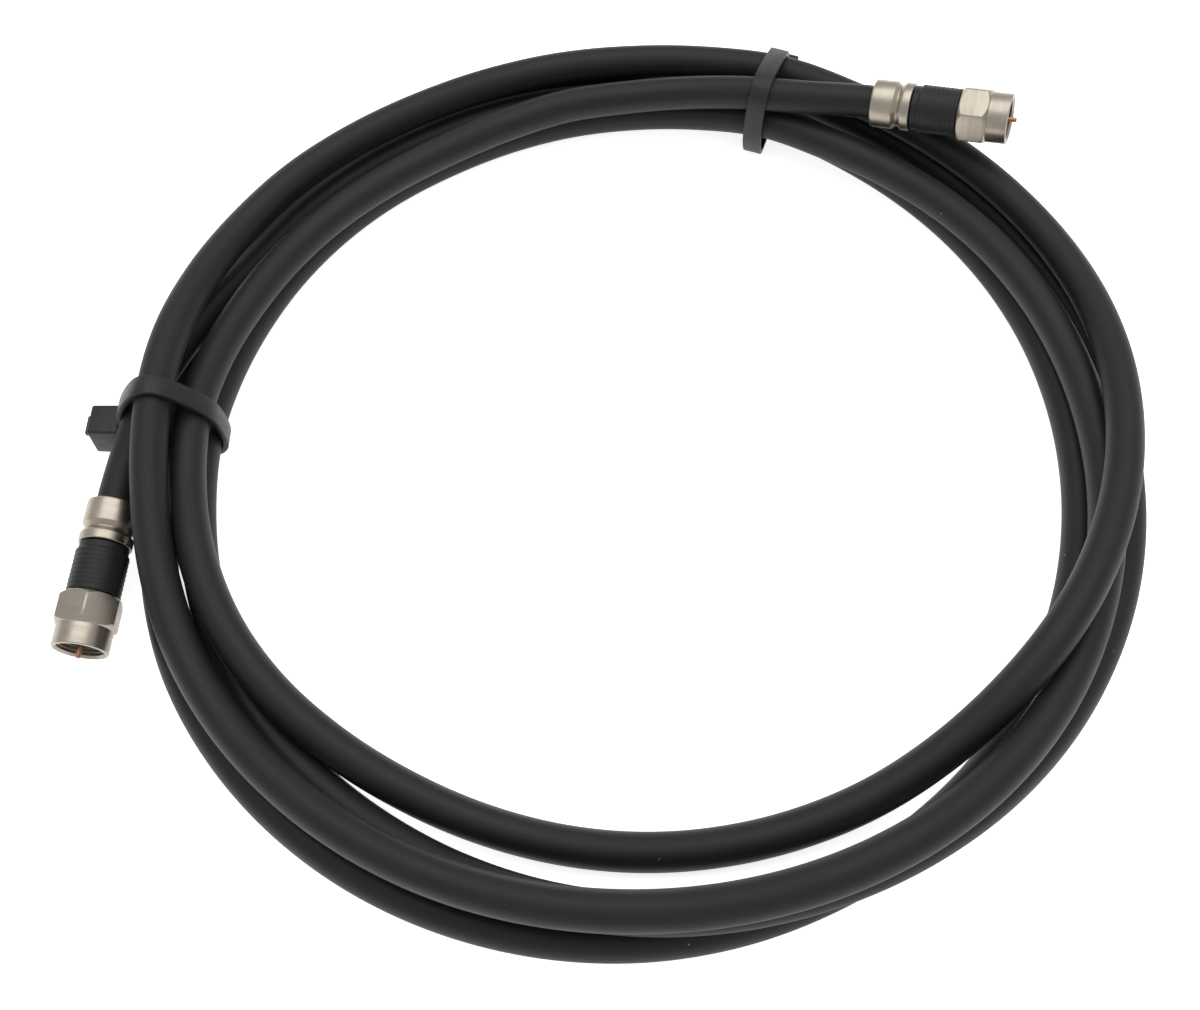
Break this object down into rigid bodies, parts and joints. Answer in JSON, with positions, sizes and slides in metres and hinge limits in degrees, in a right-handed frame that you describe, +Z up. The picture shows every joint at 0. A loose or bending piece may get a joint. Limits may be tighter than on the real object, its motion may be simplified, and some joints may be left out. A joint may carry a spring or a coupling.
{
  "type": "coaxial cable coil",
  "caption": "Black coaxial lead coiled flat and held by cable ties, with a nickel compression connector with a turning hexagonal nut on each end.",
  "frame": {"origin": "centre of the lead's bounding box, on the plane it lies on", "axes": "+Z up, out of the plane the coil lies on; +Y away from the camera of the reference picture; +X to its right"},
  "size_m": [0.2158, 0.2124, 0.0298],
  "materials": {
    "jacket": "black jacket with a soft sheen",
    "nickel": "satin nickel plate",
    "sleeve": "black, ribbed",
    "insulation": "foamed, pale",
    "copper": "bare drawn copper",
    "tie": "moulded, matte"
  },
  "bodies": {
    "lead": {"coax_cable": "jacket", "compression_ring_a": "nickel", "seal_sleeve_a": "sleeve", "connector_body_a": "nickel", "dielectric_a": "insulation", "centre_conductor_a": "copper", "compression_ring_b": "nickel", "seal_sleeve_b": "sleeve", "connector_body_b": "nickel", "dielectric_b": "insulation", "centre_conductor_b": "copper", "cable_tie_left": "tie", "cable_tie_top": "tie"},
    "nut_a": {"coupling_nut_a": "nickel"},
    "nut_b": {"coupling_nut_b": "nickel"}
  },
  "joints": [
    {"name": "nut_a_turn", "type": "hinge", "parent": "lead", "child": "nut_a", "pos_m": [-0.10114, -0.04198, 0.00786], "axis": [-0.0954, -0.9908, -0.0958], "continuous": true},
    {"name": "nut_b_turn", "type": "hinge", "parent": "lead", "child": "nut_b", "pos_m": [0.07866, 0.07025, 0.02322], "axis": [0.9231, -0.3378, 0.184], "continuous": true}
  ]
}
